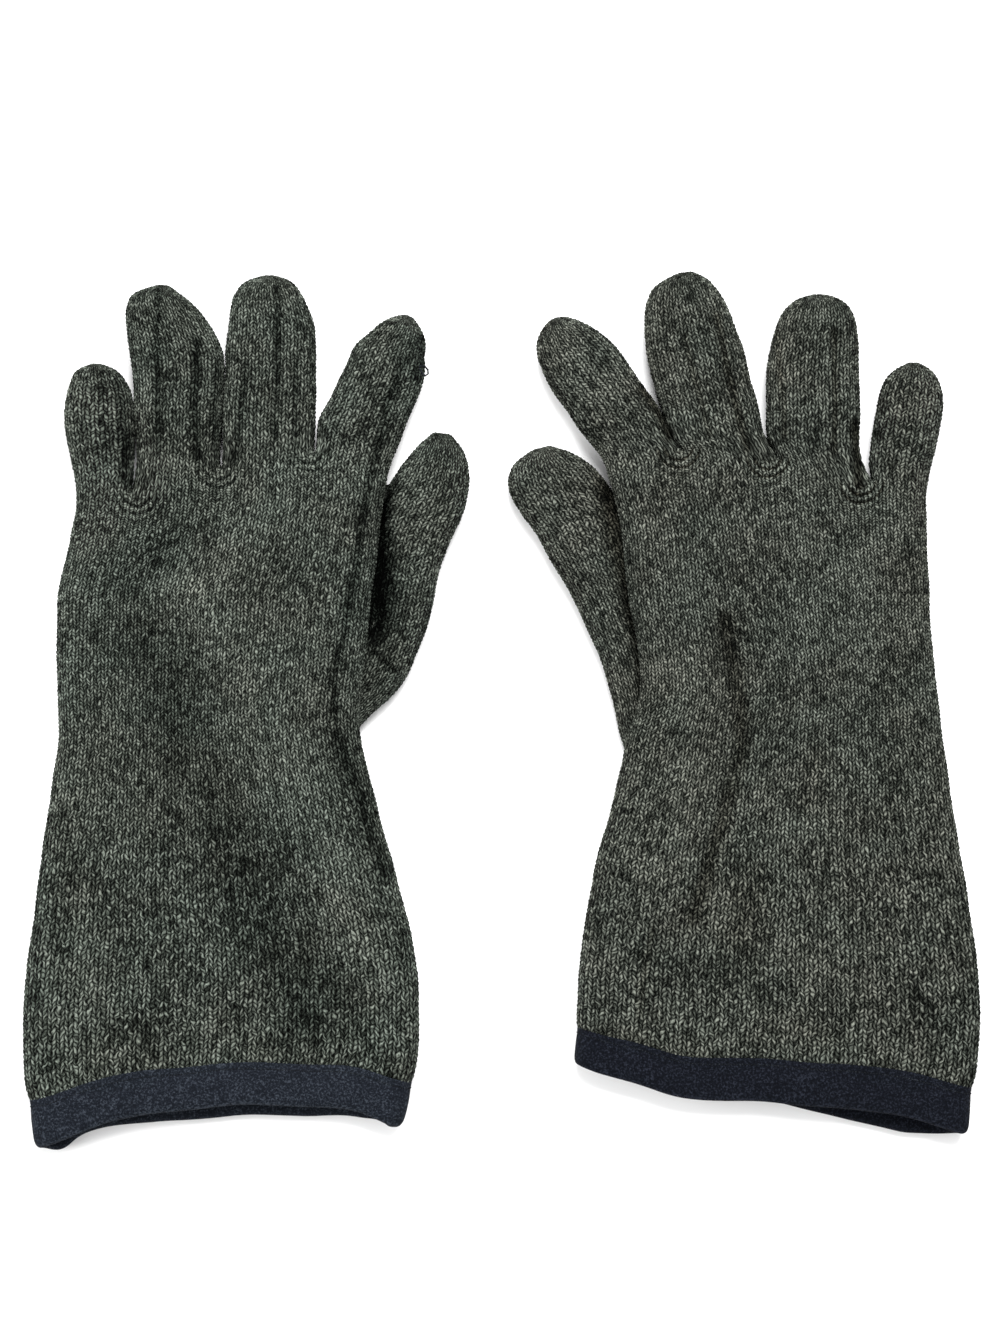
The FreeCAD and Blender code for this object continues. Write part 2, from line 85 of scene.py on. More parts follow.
GLOVES = {
    "left": {
        "way": 1,
        # height along the glove, little-finger side, thumb side
        "sides": ((-140, -65.5, 68), (-121, -68.0, 73.6), (-105, -68.9, 75.8), (-88, -68.8, 76.6),
                  (-62, -66.4, 74.0), (-42, -63.8, 68.8), (-18, -60.4, 62.0), (-5, -58.2, 58.6),
                  (13, -56.0, 54.6), (30, -56.6, 55.0), (48, -56.9, 57.0), (64, -56.2, 58.6),
                  (85, -52.0, 61.4), (104, -49.4, 64.8)),
        # place across the glove 0..1, height of the hem, height of the crotches
        "ends": ((0, -137.5, 98), (0.08, -134.0, 100), (0.22, -126.5, 101.5), (0.4, -123.2, 108),
                 (0.5, -122.0, 111.4), (0.62, -121.2, 114), (0.75, -121.8, 116.2),
                 (0.88, -124.0, 112), (1, -129.5, 104)),
        # place across, how far the under layer reaches past the upper one at the hem
        "under": ((0, 0), (0.03, 2.6), (0.05, 4.2), (0.08, 3.8), (0.105, 1.3), (0.16, 1.8), (0.3, 4.2),
                  (0.5, 5.0), (0.75, 4.6), (0.9, 2.8), (0.95, 0.4), (0.98, 2.0), (1, 0)),
        "crotches": ((-27.5, 101.5), (3.1, 111.4), (36.4, 117.0)),
        # both ends of a line of stitches across a finger, from the crotch to the tip
        "little": ((-49.5, 99, -27.6, 101), (-50.8, 109, -27.8, 110), (-53.6, 119, -28.0, 119.5),
                   (-54.5, 129, -28.5, 129), (-54.1, 137, -29.0, 137), (-52.3, 144, -31.7, 144),
                   (-49.1, 148.9, -36.5, 149.2), (-44.5, 150.9, -41.0, 150.9)),
        "ring": ((-27.5, 103, 3.1, 108), (-27.9, 116, 3.3, 119), (-28.5, 130, 3.8, 131),
                 (-28.9, 143, 4.2, 144), (-30.2, 155, 3.7, 155), (-31.1, 161, 1.3, 161),
                 (-31.4, 167, -2.4, 167), (-31.0, 172, -6, 172), (-28.2, 176.5, -10.5, 176),
                 (-19.0, 179.7, -15.5, 179.6)),
        "middle": ((3.3, 113, 35.8, 117), (3.9, 124, 38.0, 126), (4.3, 136, 38.4, 136),
                   (4.7, 148, 38.0, 148), (5.0, 157, 38.0, 157), (6.2, 165, 37.4, 165),
                   (7.3, 172, 35, 172), (9.8, 178, 31.8, 178.2), (14.5, 182, 27.5, 182),
                   (19.8, 183.5, 22.5, 183.5)),
        "index": ((36.2, 117, 65.2, 104), (38.4, 124, 66.2, 110), (39.8, 131.3, 69.4, 119.9),
                  (43.4, 137.7, 71.4, 127.1), (46.3, 144.9, 74.3, 134.1), (49.7, 151.5, 76.9, 141.1),
                  (53.1, 158.3, 78.7, 148.5), (57.9, 161.9, 78.7, 153.9), (62.5, 165.7, 79.1, 159.3),
                  (67.5, 168.1, 77, 164.2), (71.5, 168.9, 74.2, 167.8)),
        "thumb": ((33, 16, 50, 12), (36, 24, 58, 20), (40, 31, 66.8, 28.2), (43, 39, 72, 35.5),
                  (46, 48, 75.4, 42.9), (48, 57, 79.3, 53), (50, 67, 81.8, 63), (52, 78, 83.8, 75),
                  (55, 89, 88, 85), (60, 99, 92.6, 94), (66.5, 107, 94.7, 103), (71.5, 114.5, 95, 111),
                  (77, 121.5, 92.5, 119), (82, 125.9, 88, 125)),
        # ridges and grooves in the back: points, half width, height
        "folds": ((((31, 108), (24, 96), (17, 84), (11, 76)), 7.5, 2.4),
                  (((-12, 66), (-1.7, 61), (8, 44), (13, 34), (25, 17), (30, 4), (37.5, -13),
                    (45, -30), (53, -52), (60, -76)), 7.5, 3.6),
                  (((-24, 46), (-14, 20), (-2, -10), (10, -40), (22, -66), (36, -92)), 13, -3.2),
                  (((36, -62), (43, -76), (50, -88)), 7, -2.6),
                  (((-10, 92), (-16, 78), (-30, 70)), 9, -1.6),
                  (((31, 84), (34, 66), (38, 48)), 7, -1.2),
                  (((-50, 78), (-54, 20), (-58, -40)), 7, 1.2),
                  (((-46, -60), (-40, -110)), 10, 1.2)),
        # narrow creases of the fingers
        "creases": ((((-18.6, 177), (-20.0, 160), (-19.5, 140), (-19.0, 118)), 1.2, -1.8),
                    (((-5.0, 158), (-5.6, 140), (-4.6, 116)), 1.7, -2.2),
                    (((2.0, 150), (1.4, 134), (2.2, 116)), 1.4, -1.7),
                    (((-33.0, 138), (-31.6, 126), (-31.0, 106)), 1.7, -2.0),
                    (((-39.8, 147), (-39.2, 134), (-38.0, 112)), 1.2, -1.2),
                    (((24.6, 180), (24.4, 150), (24.0, 122)), 1.3, -1.7),
                    (((31.0, 150), (31.4, 134), (31.6, 120)), 1.3, -1.6),
                    (((12.6, 150), (11.6, 130), (9.4, 116)), 1.2, -1.3),
                    (((72, 152), (66, 137), (62.2, 121), (59, 108), (56.5, 93), (53, 71), (50, 55),
                      (46, 36), (46.5, 20)), 1.7, -1.8),
                    (((77.3, 160), (77.6, 152), (75.5, 145)), 1.8, -1.9),
                    (((47, 14), (52.5, -4), (58.5, -20), (64, -38)), 2.2, -1.9)),
        # groove between the palm and the thumb
        "hollows": ((((63.5, 106), (62.0, 90), (61.0, 72)), 3.4, -8.0),
                    (((60.0, 76), (59.5, 62), (59.0, 54)), 6.6, -9.0),
                    (((54, 48), (60.3, 43.2), (67, 36.5)), 1.5, -2.6),
                    (((50.5, 22), (55.5, 28.4), (62, 32.8)), 1.5, -2.0)),
        # how dark the groove between the palm and the thumb is painted: painted shade
        "hollow_painted_shade": 1.1,
    },
    "right": {
        "way": -1,
        "sides": ((-136, -68.6, 79.5), (-115, -70.4, 78.4), (-97, -71.8, 77.0), (-64, -69.8, 74.2),
                  (-45, -67.2, 71.0), (-30, -64.4, 67.6), (-15, -61.9, 63.2), (1, -59.4, 59.4),
                  (13, -58.0, 56.8), (28, -56.5, 53.0), (45, -54.6, 53.8), (62, -53.3, 57.0),
                  (85, -52.4, 59.4), (106, -53.2, 65.2)),
        "ends": ((0, -134.2, 103), (0.06, -131.5, 103), (0.2, -126.0, 103.7), (0.4, -123.4, 110),
                 (0.5, -122.3, 113.3), (0.62, -121.4, 114), (0.76, -119.6, 115.5),
                 (0.9, -113.2, 112), (1, -108.8, 106)),
        "under": ((0, 0), (0.06, 3.5), (0.15, 7), (0.3, 5), (0.42, 2), (0.5, 0.3), (0.6, 0), (1, 0)),
        "crotches": ((-28.4, 103.7), (6.4, 113.3), (39.2, 116.5)),
        "little": ((-53.2, 101, -28.6, 105), (-55.0, 110, -29.8, 113), (-57.0, 116.5, -31.7, 120),
                   (-58.2, 126.5, -34.0, 130), (-58.9, 134, -35.3, 137.5), (-57.5, 141.8, -38.9, 144.8),
                   (-54.0, 146.8, -43, 147.9), (-49.8, 149.2, -46.5, 149.3)),
        "ring": ((-28.4, 104, 6.2, 112), (-28.4, 114, 6.6, 119), (-28.2, 126, 6.5, 127),
                 (-28.0, 139, 6.4, 139), (-27.8, 150, 5.4, 150), (-27.2, 160, 3.1, 160),
                 (-25.8, 166.5, 1.0, 166), (-21.8, 171.3, -2.8, 171), (-16, 173.9, -7.5, 173.6),
                 (-12.8, 174.4, -10.8, 174.4)),
        "middle": ((6.6, 114, 38.8, 117), (7.9, 123, 41.5, 121), (9.2, 132, 44.5, 130),
                   (12, 142.6, 46.6, 137.5), (13.8, 152.4, 48.7, 146.5), (17.2, 161.9, 50.6, 155.8),
                   (20.4, 170, 50.9, 164.5), (24.4, 176.2, 50.2, 171.5), (29, 180.7, 46.5, 178),
                   (34, 182.8, 38.5, 182.3)),
        "index": ((39.2, 116.5, 65.0, 104.5), (42.0, 124, 67.3, 111), (45.8, 133, 71.2, 117.4),
                  (50.2, 139.4, 75.7, 124.8), (54.7, 145.6, 79.6, 131.2), (60.7, 153.6, 85.4, 139.3),
                  (66.3, 159.1, 88.9, 146), (72.5, 163.4, 91.3, 152.6), (78.5, 165.9, 91.0, 158.6),
                  (82.3, 166.3, 88, 163.4), (84.5, 165.9, 86, 165.2)),
        "thumb": ((36, 10, 57.5, 4), (37.5, 20, 60.8, 14), (39.5, 30, 63.6, 26), (41.5, 40, 66.7, 37.5),
                  (44, 50, 71, 47.3), (47, 60, 75.4, 57.3), (50.5, 70, 79.9, 66.6), (54, 80, 85.2, 75.6),
                  (58, 91, 91, 85.2), (63, 101, 97, 92.7), (68.3, 108, 100.7, 99.5),
                  (74, 113.5, 101.8, 106), (80.5, 117.3, 98.8, 112.3), (86.5, 119, 92.5, 117)),
        "folds": ((((22, 54), (19, 38), (16.5, 22), (15.5, 6), (21, -14), (26, -30), (31, -46),
                    (34, -56)), 3.2, -3.6),
                  (((36, 36), (34, 12), (36, -12), (42, -36), (48, -52)), 9, 3.2),
                  (((8, 46), (4, 10), (8, -30)), 9, 0.9),
                  (((12, -40), (16, -66)), 9, -1.6),
                  (((-34, 80), (-24, 40)), 9, 0.8),
                  (((-40, -40), (-10, -80)), 8, 0.9),
                  (((20, -80), (-20, -104)), 6, -0.8),
                  (((-12, 4), (-8, -14)), 6, -1.2),
                  (((-45, 30), (-40, -20)), 8, -0.7)),
        "creases": ((((24.5, 166), (21.5, 150), (18.0, 132), (14.0, 117)), 1.5, -1.3),
                    (((36.5, 158), (32.5, 140), (28.0, 122)), 1.3, -0.8),
                    (((-18.0, 160), (-18.5, 138), (-18.0, 116)), 1.2, -1.1),
                    (((-26.0, 126), (-27.0, 112), (-27, 102)), 1.9, -1.8),
                    (((2.6, 160), (1.0, 138), (0.2, 122)), 1.2, -0.9),
                    (((42.5, 122), (46.0, 130), (52, 140)), 1.7, -1.8),
                    (((46, -46), (50, -64), (54, -92)), 1.4, -0.7)),
        "hollows": ((((66, 106), (62.0, 84), (56.0, 62), (51.5, 42), (50, 24)), 3.8, -2.0),),
        # how dark the groove between the palm and the thumb is painted: painted shade
        "hollow_painted_shade": 2.0,
    },
}


# ---- curves and small helpers ---------------------------------------------------------------
def smooth_table(rows, at):
    """Columns of a table read at some places of its first column, along smooth curves."""
    rows = np.array(rows, float)
    x = rows[:, 0]
    at = np.clip(np.asarray(at, float), x[0], x[-1])
    k = np.clip(np.searchsorted(x, at) - 1, 0, len(x) - 2)
    width = x[k + 1] - x[k]
    t = (at - x[k]) / width
    slopes = np.gradient(rows[:, 1:], x, axis=0)
    out = []
    for values, slope in zip(rows[:, 1:].T, slopes.T):
        out.append((2 * t ** 3 - 3 * t ** 2 + 1) * values[k] + (t ** 3 - 2 * t ** 2 + t) * width * slope[k]
                   + (3 * t ** 2 - 2 * t ** 3) * values[k + 1] + (t ** 3 - t ** 2) * width * slope[k + 1])
    return out


def stadium(part, half, depth):
    """Point on a flattened ring at a share of its way round, from its left end over the top."""
    half, depth = np.broadcast_arrays(np.asarray(half, float), np.asarray(depth, float))
    part = np.mod(part, 1.0)
    flat = np.maximum(half - depth, 0.0)
    quarter = math.pi * depth / 2
    lap = 4 * flat + 4 * quarter
    run = part * lap
    mirrored = run > lap / 2
    run = np.where(mirrored, lap - run, run)
    angle = np.where(run < quarter, run / quarter,
                     np.where(run > quarter + 2 * flat,
                              1 + (run - quarter - 2 * flat) / quarter, 1.0)) * math.pi / 2
    x = -flat - depth * np.cos(angle)
    middle = (run >= quarter) & (run <= quarter + 2 * flat)
    x = np.where(middle, -flat + (run - quarter), x)
    x = np.where(run > quarter + 2 * flat, flat - depth * np.cos(angle), x)
    z = depth * np.sin(angle)
    return x, np.where(mirrored, -z, z)


def near(points, line, width):
    """Bell-shaped nearness of points to a polyline."""
    best = np.full(len(points), 1e9)
    line = np.array(line, float)
    for a, b in zip(line[:-1], line[1:]):
        along = np.clip(((points - a) @ (b - a)) / ((b - a) @ (b - a)), 0, 1)
        best = np.minimum(best, np.linalg.norm(points - (a + along[:, None] * (b - a)), axis=1))
    return np.exp(-((best / width) ** 2))


def wobble(points, scale, waves=9):
    """Smooth noise about zero: a few plane waves, the same for every layer."""
    rng = np.random.default_rng(int(scale * 10))
    total = np.zeros(len(points))
    for _ in range(waves):
        turn, phase, pace = rng.uniform(0, 2 * math.pi, 2).tolist() + [rng.uniform(0.6, 1.5)]
        way = np.array((math.cos(turn), math.sin(turn)))
        total += np.sin(points @ way * (2 * math.pi * pace / scale) + phase)
    return total / math.sqrt(waves)


def step(low, high, value):
    t = np.clip((value - low) / (high - low), 0, 1)
    return t * t * (3 - 2 * t)


def row_at(level):
    """Row of stitches that a ring of coarse points lies on."""
    return np.interp(level, LEVELS, ROWS)


# ---- the coarse knit ------------------------------------------------------------------------
class Knit:
    """Coarse cells of one glove: points, cells, stitch coordinates and the piece of each cell."""

    def __init__(self):
        self.points, self.cells, self.stitch, self.piece = [], [], [], []
        self.count = 0

    def add(self, points):
        first = self.count
        self.points.append(np.asarray(points, float))
        self.count += len(points)
        return np.arange(first, self.count)

    def cell(self, corners, stitches, piece):
        self.cells.append(corners)
        self.stitch.append(stitches)
        self.piece.append(piece)

    def sleeve(self, low, high, wale, level, piece):
        """Cells between two rings of the same length."""
        count = len(low)
        row, above = row_at(level), row_at(level + 1)
        for j in range(count):
            k = (j + 1) % count
            self.cell((low[j], low[k], high[k], high[j]),
                      ((wale[j], row), (wale[j] + 1, row), (wale[j] + 1, above), (wale[j], above)),
                      piece)


PIECES = ["cuff", "hand"] + [f + e for f in FINGERS + ("thumb",) for e in ("_base", "_tip")]
PART_OF = {name: i for i, name in enumerate(PIECES)}
THUMB_ROOT = len(PIECES)    # marks the end of the thumb's tube that belongs to the hand


def body_rings(glove):
    """Rings of the cuff and palm from hem to crotches, as an array (row, wale, xyz)."""
    rows = int(round((BODY_TOP - BODY_HEM) / CELL)) + 1
    part = np.arange(WALES) / WALES
    place = (stadium(part, 56.0, 7.0)[0] / 56.0 + 1) / 2
    hem, top = smooth_table(glove["ends"], place)
    beyond = np.interp(place, *np.array(glove["under"]).T)
    hem = hem - np.where(part > 0.5, beyond, 0)
    rings = np.zeros((rows, WALES, 3))
    for r in range(rows):
        t = r / (rows - 1)
        level = BODY_HEM + t * (BODY_TOP - BODY_HEM)
        y = level + (hem - BODY_HEM) * (1 - t) ** 2.2 + (top - BODY_TOP) * t ** 4
        left, right = smooth_table(glove["sides"], y)
        depth = np.interp(level, (-130, -110, -60, 0, 40, 100, 120), (6.2, 5.8, 5.8, 6.2, 6.9, 6.7, 6.4))
        half = (right - left) / 2 + 0.4 - 0.9 * (1 - step(12, 22, r * CELL))
        x, z = stadium(part, half, depth)
        rings[r, :, 0] = (left + right) / 2 + x
        rings[r, :, 1] = y
        rings[r, :, 2] = z
    return rings


def lift_over_thumb(points):
    """Height the palm's thumb side is raised to lie on the thumb."""
    x, y = points[:, 0], points[:, 1]
    return 6.2 * step(22, 58, x) * step(-8, 22, y) * (1 - step(100, 124, y))


def tube_rows(stations, count, turn, depth_at, blunt):
    """Rings of a tube drawn through lines across it, evenly spaced over its skin up to the tip."""
    lines = np.array(stations, float)
    centres = (lines[:, :2] + lines[:, 2:]) / 2
    reach = np.concatenate([[0], np.cumsum(np.linalg.norm(np.diff(centres, axis=0), axis=1))])
    table = np.column_stack([reach, lines])
    total = reach[-1]
    fine = np.linspace(0, total, 600)
    xl, yl, xr, yr = smooth_table(table, fine)
    half = np.hypot(xr - xl, yr - yl) / 2
    depth = np.array([depth_at(s) for s in fine])
    left = np.clip((total - fine) / blunt, 0, 1)
    depth = np.minimum(depth * np.sqrt(1 - (1 - left) ** 2) + 0.4, half)
    skin = np.hypot(np.diff(fine), np.hypot(np.diff(half), np.diff(depth)) * 0.8)
    skin = np.concatenate([[0], np.cumsum(skin)])
    rows = int(round(skin[-1] / CELL))
    where = np.interp(np.arange(rows + 1) / rows * skin[-1], skin, fine)
    part = (np.arange(count) + turn) / count
    rings = []
    for s in where:
        ends = [np.interp(s, fine, v) for v in (xl, yl, xr, yr)]
        centre = np.array((ends[0] + ends[2], ends[1] + ends[3])) / 2
        across = np.array((ends[2] - ends[0], ends[3] - ends[1])) / 2
        h = np.linalg.norm(across)
        x, z = stadium(part, h, min(np.interp(s, fine, depth), h * 0.96))
        ring = np.zeros((count, 3))
        ring[:, :2] = centre + (x / h)[:, None] * across
        ring[:, 2] = z
        rings.append(ring)
    return rings, where


def finger_rings(glove, name, start, sides):
    """Rings of a finger above its first ring, which the palm gives."""
    rings, where = tube_rows(glove[name], len(start), sides[0] / 2, lambda s: 6.5, 11.0)
    out = []
    for ring, along in zip(rings[1:], where[1:]):
        # near the crotch a ring keeps the curve and the place of the first ring
        keep = math.exp(-((along / 6.0) ** 2))
        shift = (start - rings[0]) * math.exp(-((along / 15.0) ** 2))
        moved = ring + shift * (0, 1, 0.3)
        out.append(moved * (1 - keep) + (ring + start - rings[0]) * keep)
    return out


def thumb_rings(glove):
    def depth(s):
        return np.interp(s, (0, 25, 60, 90), (3.2, 5.0, 6.0, 6.3))

    rings, where = tube_rows(glove["thumb"], THUMB_WALES, 0.0, depth, 11.0)
    for ring, s in zip(rings, where):
        ring[:, 2] += float(depth(s)) - 7.7
    return rings


def joint_place(name):
    """Where a joint of the frame lies, in millimetres."""
    joints = {j["name"]: j for j in frame["joints"]}
    return np.array(joints[name]["pos_m"]) / MM


def knit_glove(side):
    """The coarse knit of one glove, with its wrist and the places of its joints."""
    glove = GLOVES[side]
    wrist = joint_place(side + "_wrist_bend")

    def local(joint):
        at = (joint_place(side + "_" + joint) - wrist)[:2]
        return at * (glove["way"], 1)

    knit = Knit()
    rings, top = knit_body(knit, glove)
    knit_fingers(knit, glove, rings, top, local)
    thumb_count = knit_thumb(knit, glove, local)

    points = np.vstack(knit.points)
    thumb_first = len(points) - THUMB_WALES * thumb_count - 1
    is_thumb = np.arange(len(points)) >= thumb_first
    points = relax(points, knit.cells, is_thumb)
    curve_rows(knit, points, glove, is_thumb)
    return knit, points, wrist, local


def knit_body(knit, glove):
    """Cuff and palm; gives their rings and the numbers of the top ring's points."""
    rings = body_rings(glove)
    rows = len(rings)
    ids = [knit.add(ring) for ring in rings]
    wale = np.arange(WALES)
    cuff_rows = int(round((rows - 1) * (CUFF_TOP - BODY_HEM) / (BODY_TOP - BODY_HEM)))
    for r in range(rows - 1):
        piece = PART_OF["cuff" if r < cuff_rows else "hand"]
        knit.sleeve(ids[r], ids[r + 1], wale, r, piece)
    return rings, ids[-1]


def knit_webs(knit, rings):
    """A short line of points from back to front at each crotch."""
    webs = []
    for k in range(3):
        back, front = rings[-1][SPLIT[k + 1]], rings[-1][WALES - SPLIT[k + 1]]
        dip = [(back + (front - back) * j / WEB) + (0, -0.6, 0) for j in range(1, WEB)]
        webs.append(knit.add(dip))
    return webs


def first_ring(i, top, webs):
    """Points and wales round the foot of a finger: back, web, front and the other web."""
    a, b = SPLIT[i], SPLIT[i + 1]
    ring = [top[k] for k in range(a, b + 1)]
    number = list(range(a, b + 1))
    if i < 3:
        ring += list(webs[i])
        number += [b + 1 + j for j in range(WEB - 1)]
    front = list(range(WALES - b, WALES - a + (1 if i > 0 else 0)))
    if i == 3:
        front = front[1:]
    ring += [top[k % WALES] for k in front]
    number += front
    if i > 0:
        ring += list(webs[i - 1][::-1])
        number += [number[-1] + 1 + j for j in range(WEB - 1)]
    return np.array(ring), number


def knit_fingers(knit, glove, rings, top, local):
    rows = len(rings)
    webs = knit_webs(knit, rings)
    for i, name in enumerate(FINGERS):
        ring, number = first_ring(i, top, webs)
        points = np.vstack(knit.points)[ring]
        sides = (WEB if i > 0 else 0, WEB if i < 3 else 0)
        above = finger_rings(glove, name, points, sides)
        bend = local(name + "_end_bend")[1]
        low = ring
        for m, higher in enumerate(above):
            high = knit.add(higher)
            middle = higher[:, 1].mean()
            tip = middle > bend - 7
            piece = PART_OF[name + ("_tip" if tip else "_base")]
            knit.sleeve(low, high, number, rows - 1 + m, piece)
            low = high
        close_tip(knit, low, number, rows - 1 + len(above), PART_OF[name + "_tip"])


def knit_thumb(knit, glove, local):
    """The thumb's own tube; gives how many rings it has."""
    low = None
    rings = thumb_rings(glove)
    root, bend = local("thumb_root_bend"), local("thumb_end_bend")
    length = np.linalg.norm(bend - root)
    heading = (bend - root) / length
    number = np.arange(THUMB_WALES)
    for m, ring in enumerate(rings):
        high = knit.add(ring)
        if low is not None:
            far = (ring[:, :2].mean(0) - root) @ heading
            piece = PART_OF["thumb_base" if far < length - 8 else "thumb_tip"]
            if far < -10:
                piece = THUMB_ROOT
            knit.sleeve(low, high, number, THUMB_LEVEL + m, piece)
        low = high
    close_tip(knit, low, number, THUMB_LEVEL + len(rings), PART_OF["thumb_tip"])
    return len(rings)


def close_tip(knit, ring, number, level, piece):
    """Draws the last ring together in one point."""
    points = np.vstack(knit.points)[ring]
    centre = points.mean(0)
    middle = knit.add([centre])[0]
    count = len(ring)
    for j in range(count):
        k = (j + 1) % count
        knit.cell((ring[j], ring[k], middle),
                  ((number[j], row_at(level)), (number[j] + 1, row_at(level)),
                   (number[j] + 0.5, row_at(level + 1))), piece)


def curve_rows(knit, points, glove, is_thumb):
    """Bends the rows of stitches under each crotch, where they were picked up and pulled in."""
    dip = np.zeros(len(points))
    for x, y in glove["crotches"]:
        off = (points[:, :2] - (x, y - 1)) / (7.0, 8.5)
        dip += 4.2 * np.exp(-(off ** 2).sum(1)) * ~is_thumb
    for i, cell in enumerate(knit.cells):
        knit.stitch[i] = tuple((u, v + dip[c]) for (u, v), c in zip(knit.stitch[i], cell))


def relax(points, cells, is_thumb):
    """Eases the knit round the crotches, where rings of different shape meet."""
    edges = set()
    for cell in cells:
        for a, b in zip(cell, cell[1:] + cell[:1]):
            edges.add((min(a, b), max(a, b)))
    edges = np.array(sorted(edges))
    degree = np.zeros(len(points))
    np.add.at(degree, edges[:, 0], 1)
    np.add.at(degree, edges[:, 1], 1)
    height = points[:, 1]
    zone = 0.7 * step(86, 102, height) * (1 - step(116, 128, height)) * ~is_thumb
    for _ in range(8):
        total = np.zeros_like(points)
        np.add.at(total, edges[:, 0], points[edges[:, 1]])
        np.add.at(total, edges[:, 1], points[edges[:, 0]])
        points = points + (total / degree[:, None] - points) * (0.5 * zone)[:, None]
    return points


def shape(points, glove, is_thumb):
    """Folds, creases, the edge raised over the thumb and the slight unevenness of worn knit.

    Gives painted shading, -0.3 to 1: painted shade in grooves, creases, the groove by the thumb and
    between the arcs at the crotches, painted highlight on ridges and on the arcs' crests; in a crease the
    yarn's gaps also show more.
    """
    flat = points[:, :2].copy()
    top = step(-2, 4, points[:, 2])
    body = ~is_thumb
    painted_shading = np.zeros(len(points))
    # painted shade along grooves and creases, weighted by dark, and painted highlight on ridges at 0.8 of
    # that
    for kind, dark in (("folds", 0.07), ("creases", 0.26)):
        for line, width, height in glove[kind]:
            much = near(flat, line, width) * height * top * body
            points[:, 2] += much
            painted_shading -= much * dark * (1 if height < 0 else 0.8)
    sunk = np.zeros(len(points))
    for line, width, height in glove["hollows"]:
        sunk = np.minimum(sunk, near(flat, line, width) * top * is_thumb * height)
    points[:, 2] += sunk
    # painted shade in the groove between the palm and the thumb, on top of its sunken shape
    painted_shading -= sunk * glove["hollow_painted_shade"] / 8.0
    for x, y in glove["crotches"]:
        # arcs of stitches picked up round the crotch, raised, with painted highlight on their crests and
        # painted shade between them
        off = np.hypot(flat[:, 0] - x, (flat[:, 1] - y - 2.0) * 0.95)
        arc = np.cos(2 * math.pi * (off - 4.0) / 2.7) * np.exp(-((off - 6.4) / 3.0) ** 2)
        arc *= (1 - step(y - 1.5, y + 2.5, flat[:, 1])) * top * body
        points[:, 2] += 0.5 * arc
        painted_shading -= 0.7 * arc
    points[:, 2] += lift_over_thumb(flat) * body
    points[:, 2] += (wobble(flat, 46) * 0.35 + wobble(flat, 19) * 0.14) * top
    points[:, 0] += wobble(flat * (0.2, 1), 30) * 0.3
    points[:, 1] += wobble(flat * (1, 0.4), 34) * 0.3
    points[:, 2] = np.maximum(points[:, 2], -7.6)
    return np.clip(painted_shading, -0.3, 1)


# ---- from coarse knit to stitches ------------------------------------------------------------
def stitch_height(u, v):
    """Relief of stocking stitch: two slanting legs to a stitch, 0 in the gaps and 1 on the yarn."""
    s = np.abs(2 * np.mod(u, 1) - 1)
    run = v - SLANT * s
    across = np.sin(math.pi * (0.1 + 0.8 * s))
    along = np.sin(math.pi * np.mod(run, 1)) ** 0.7
    spread = np.mod(np.sin(np.floor(2 * u) * 12.9898 + np.floor(run) * 78.233) * 43758.5453, 1)
    return across * (0.45 + 0.55 * along) * (0.8 + 0.4 * spread)


def under_tape(v):
    """Stitches are pressed flat where the hem's tape covers them."""
    return 0.15 + 0.85 * step(TAPE - 1.5, TAPE + 0.5, v * CUFF_COURSE)


def make_mesh(name, points, cells, stitches, pieces):
    mesh = bpy.data.meshes.new(name)
    mesh.from_pydata([tuple(p) for p in points], [], [tuple(int(i) for i in c) for c in cells])
    layer = mesh.uv_layers.new(name="stitch")
    flat = [value for cell in stitches for corner in cell for value in corner]
    layer.data.foreach_set("uv", np.array(flat, np.float32))
    mesh.polygons.foreach_set("material_index", np.array(pieces, np.int32))
    mesh.update()
    return mesh


def subdivided(mesh, levels):
    """The mesh after smooth subdivision, as arrays."""
    thing = bpy.data.objects.new("working", mesh)
    bpy.context.scene.collection.objects.link(thing)
    modifier = thing.modifiers.new("smooth", "SUBSURF")
    modifier.levels = modifier.render_levels = levels
    modifier.uv_smooth = "NONE"
    graph = bpy.context.evaluated_depsgraph_get()
    fine = bpy.data.meshes.new_from_object(thing.evaluated_get(graph))
    bpy.data.objects.remove(thing)
    return fine


def arrays(mesh):
    count = len(mesh.vertices)
    points = np.empty(count * 3)
    mesh.vertices.foreach_get("co", points)
    normals = np.empty(count * 3)
    mesh.vertices.foreach_get("normal", normals)
    corners = np.empty(len(mesh.loops), np.int32)
    mesh.loops.foreach_get("vertex_index", corners)
    uv = np.empty(len(mesh.loops) * 2)
    mesh.uv_layers[0].data.foreach_get("uv", uv)
    piece = np.empty(len(mesh.polygons), np.int32)
    mesh.polygons.foreach_get("material_index", piece)
    return (points.reshape(-1, 3), normals.reshape(-1, 3), corners.reshape(-1, 4),
            uv.reshape(-1, 4, 2), piece)


def to_row(points, glove, wrist):
    out = points * (glove["way"], 1, 1) + wrist
    return out * MM


def face_normals(points, corners):
    a, b, c, d = [points[corners[:, i]] for i in range(4)]
    return np.cross(c - a, d - b)


def point_normals(points, corners):
    total = np.zeros_like(points)
    flat = face_normals(points, corners)
    for i in range(4):
        np.add.at(total, corners[:, i], flat)
    return total / np.maximum(np.linalg.norm(total, axis=1, keepdims=True), 1e-12)


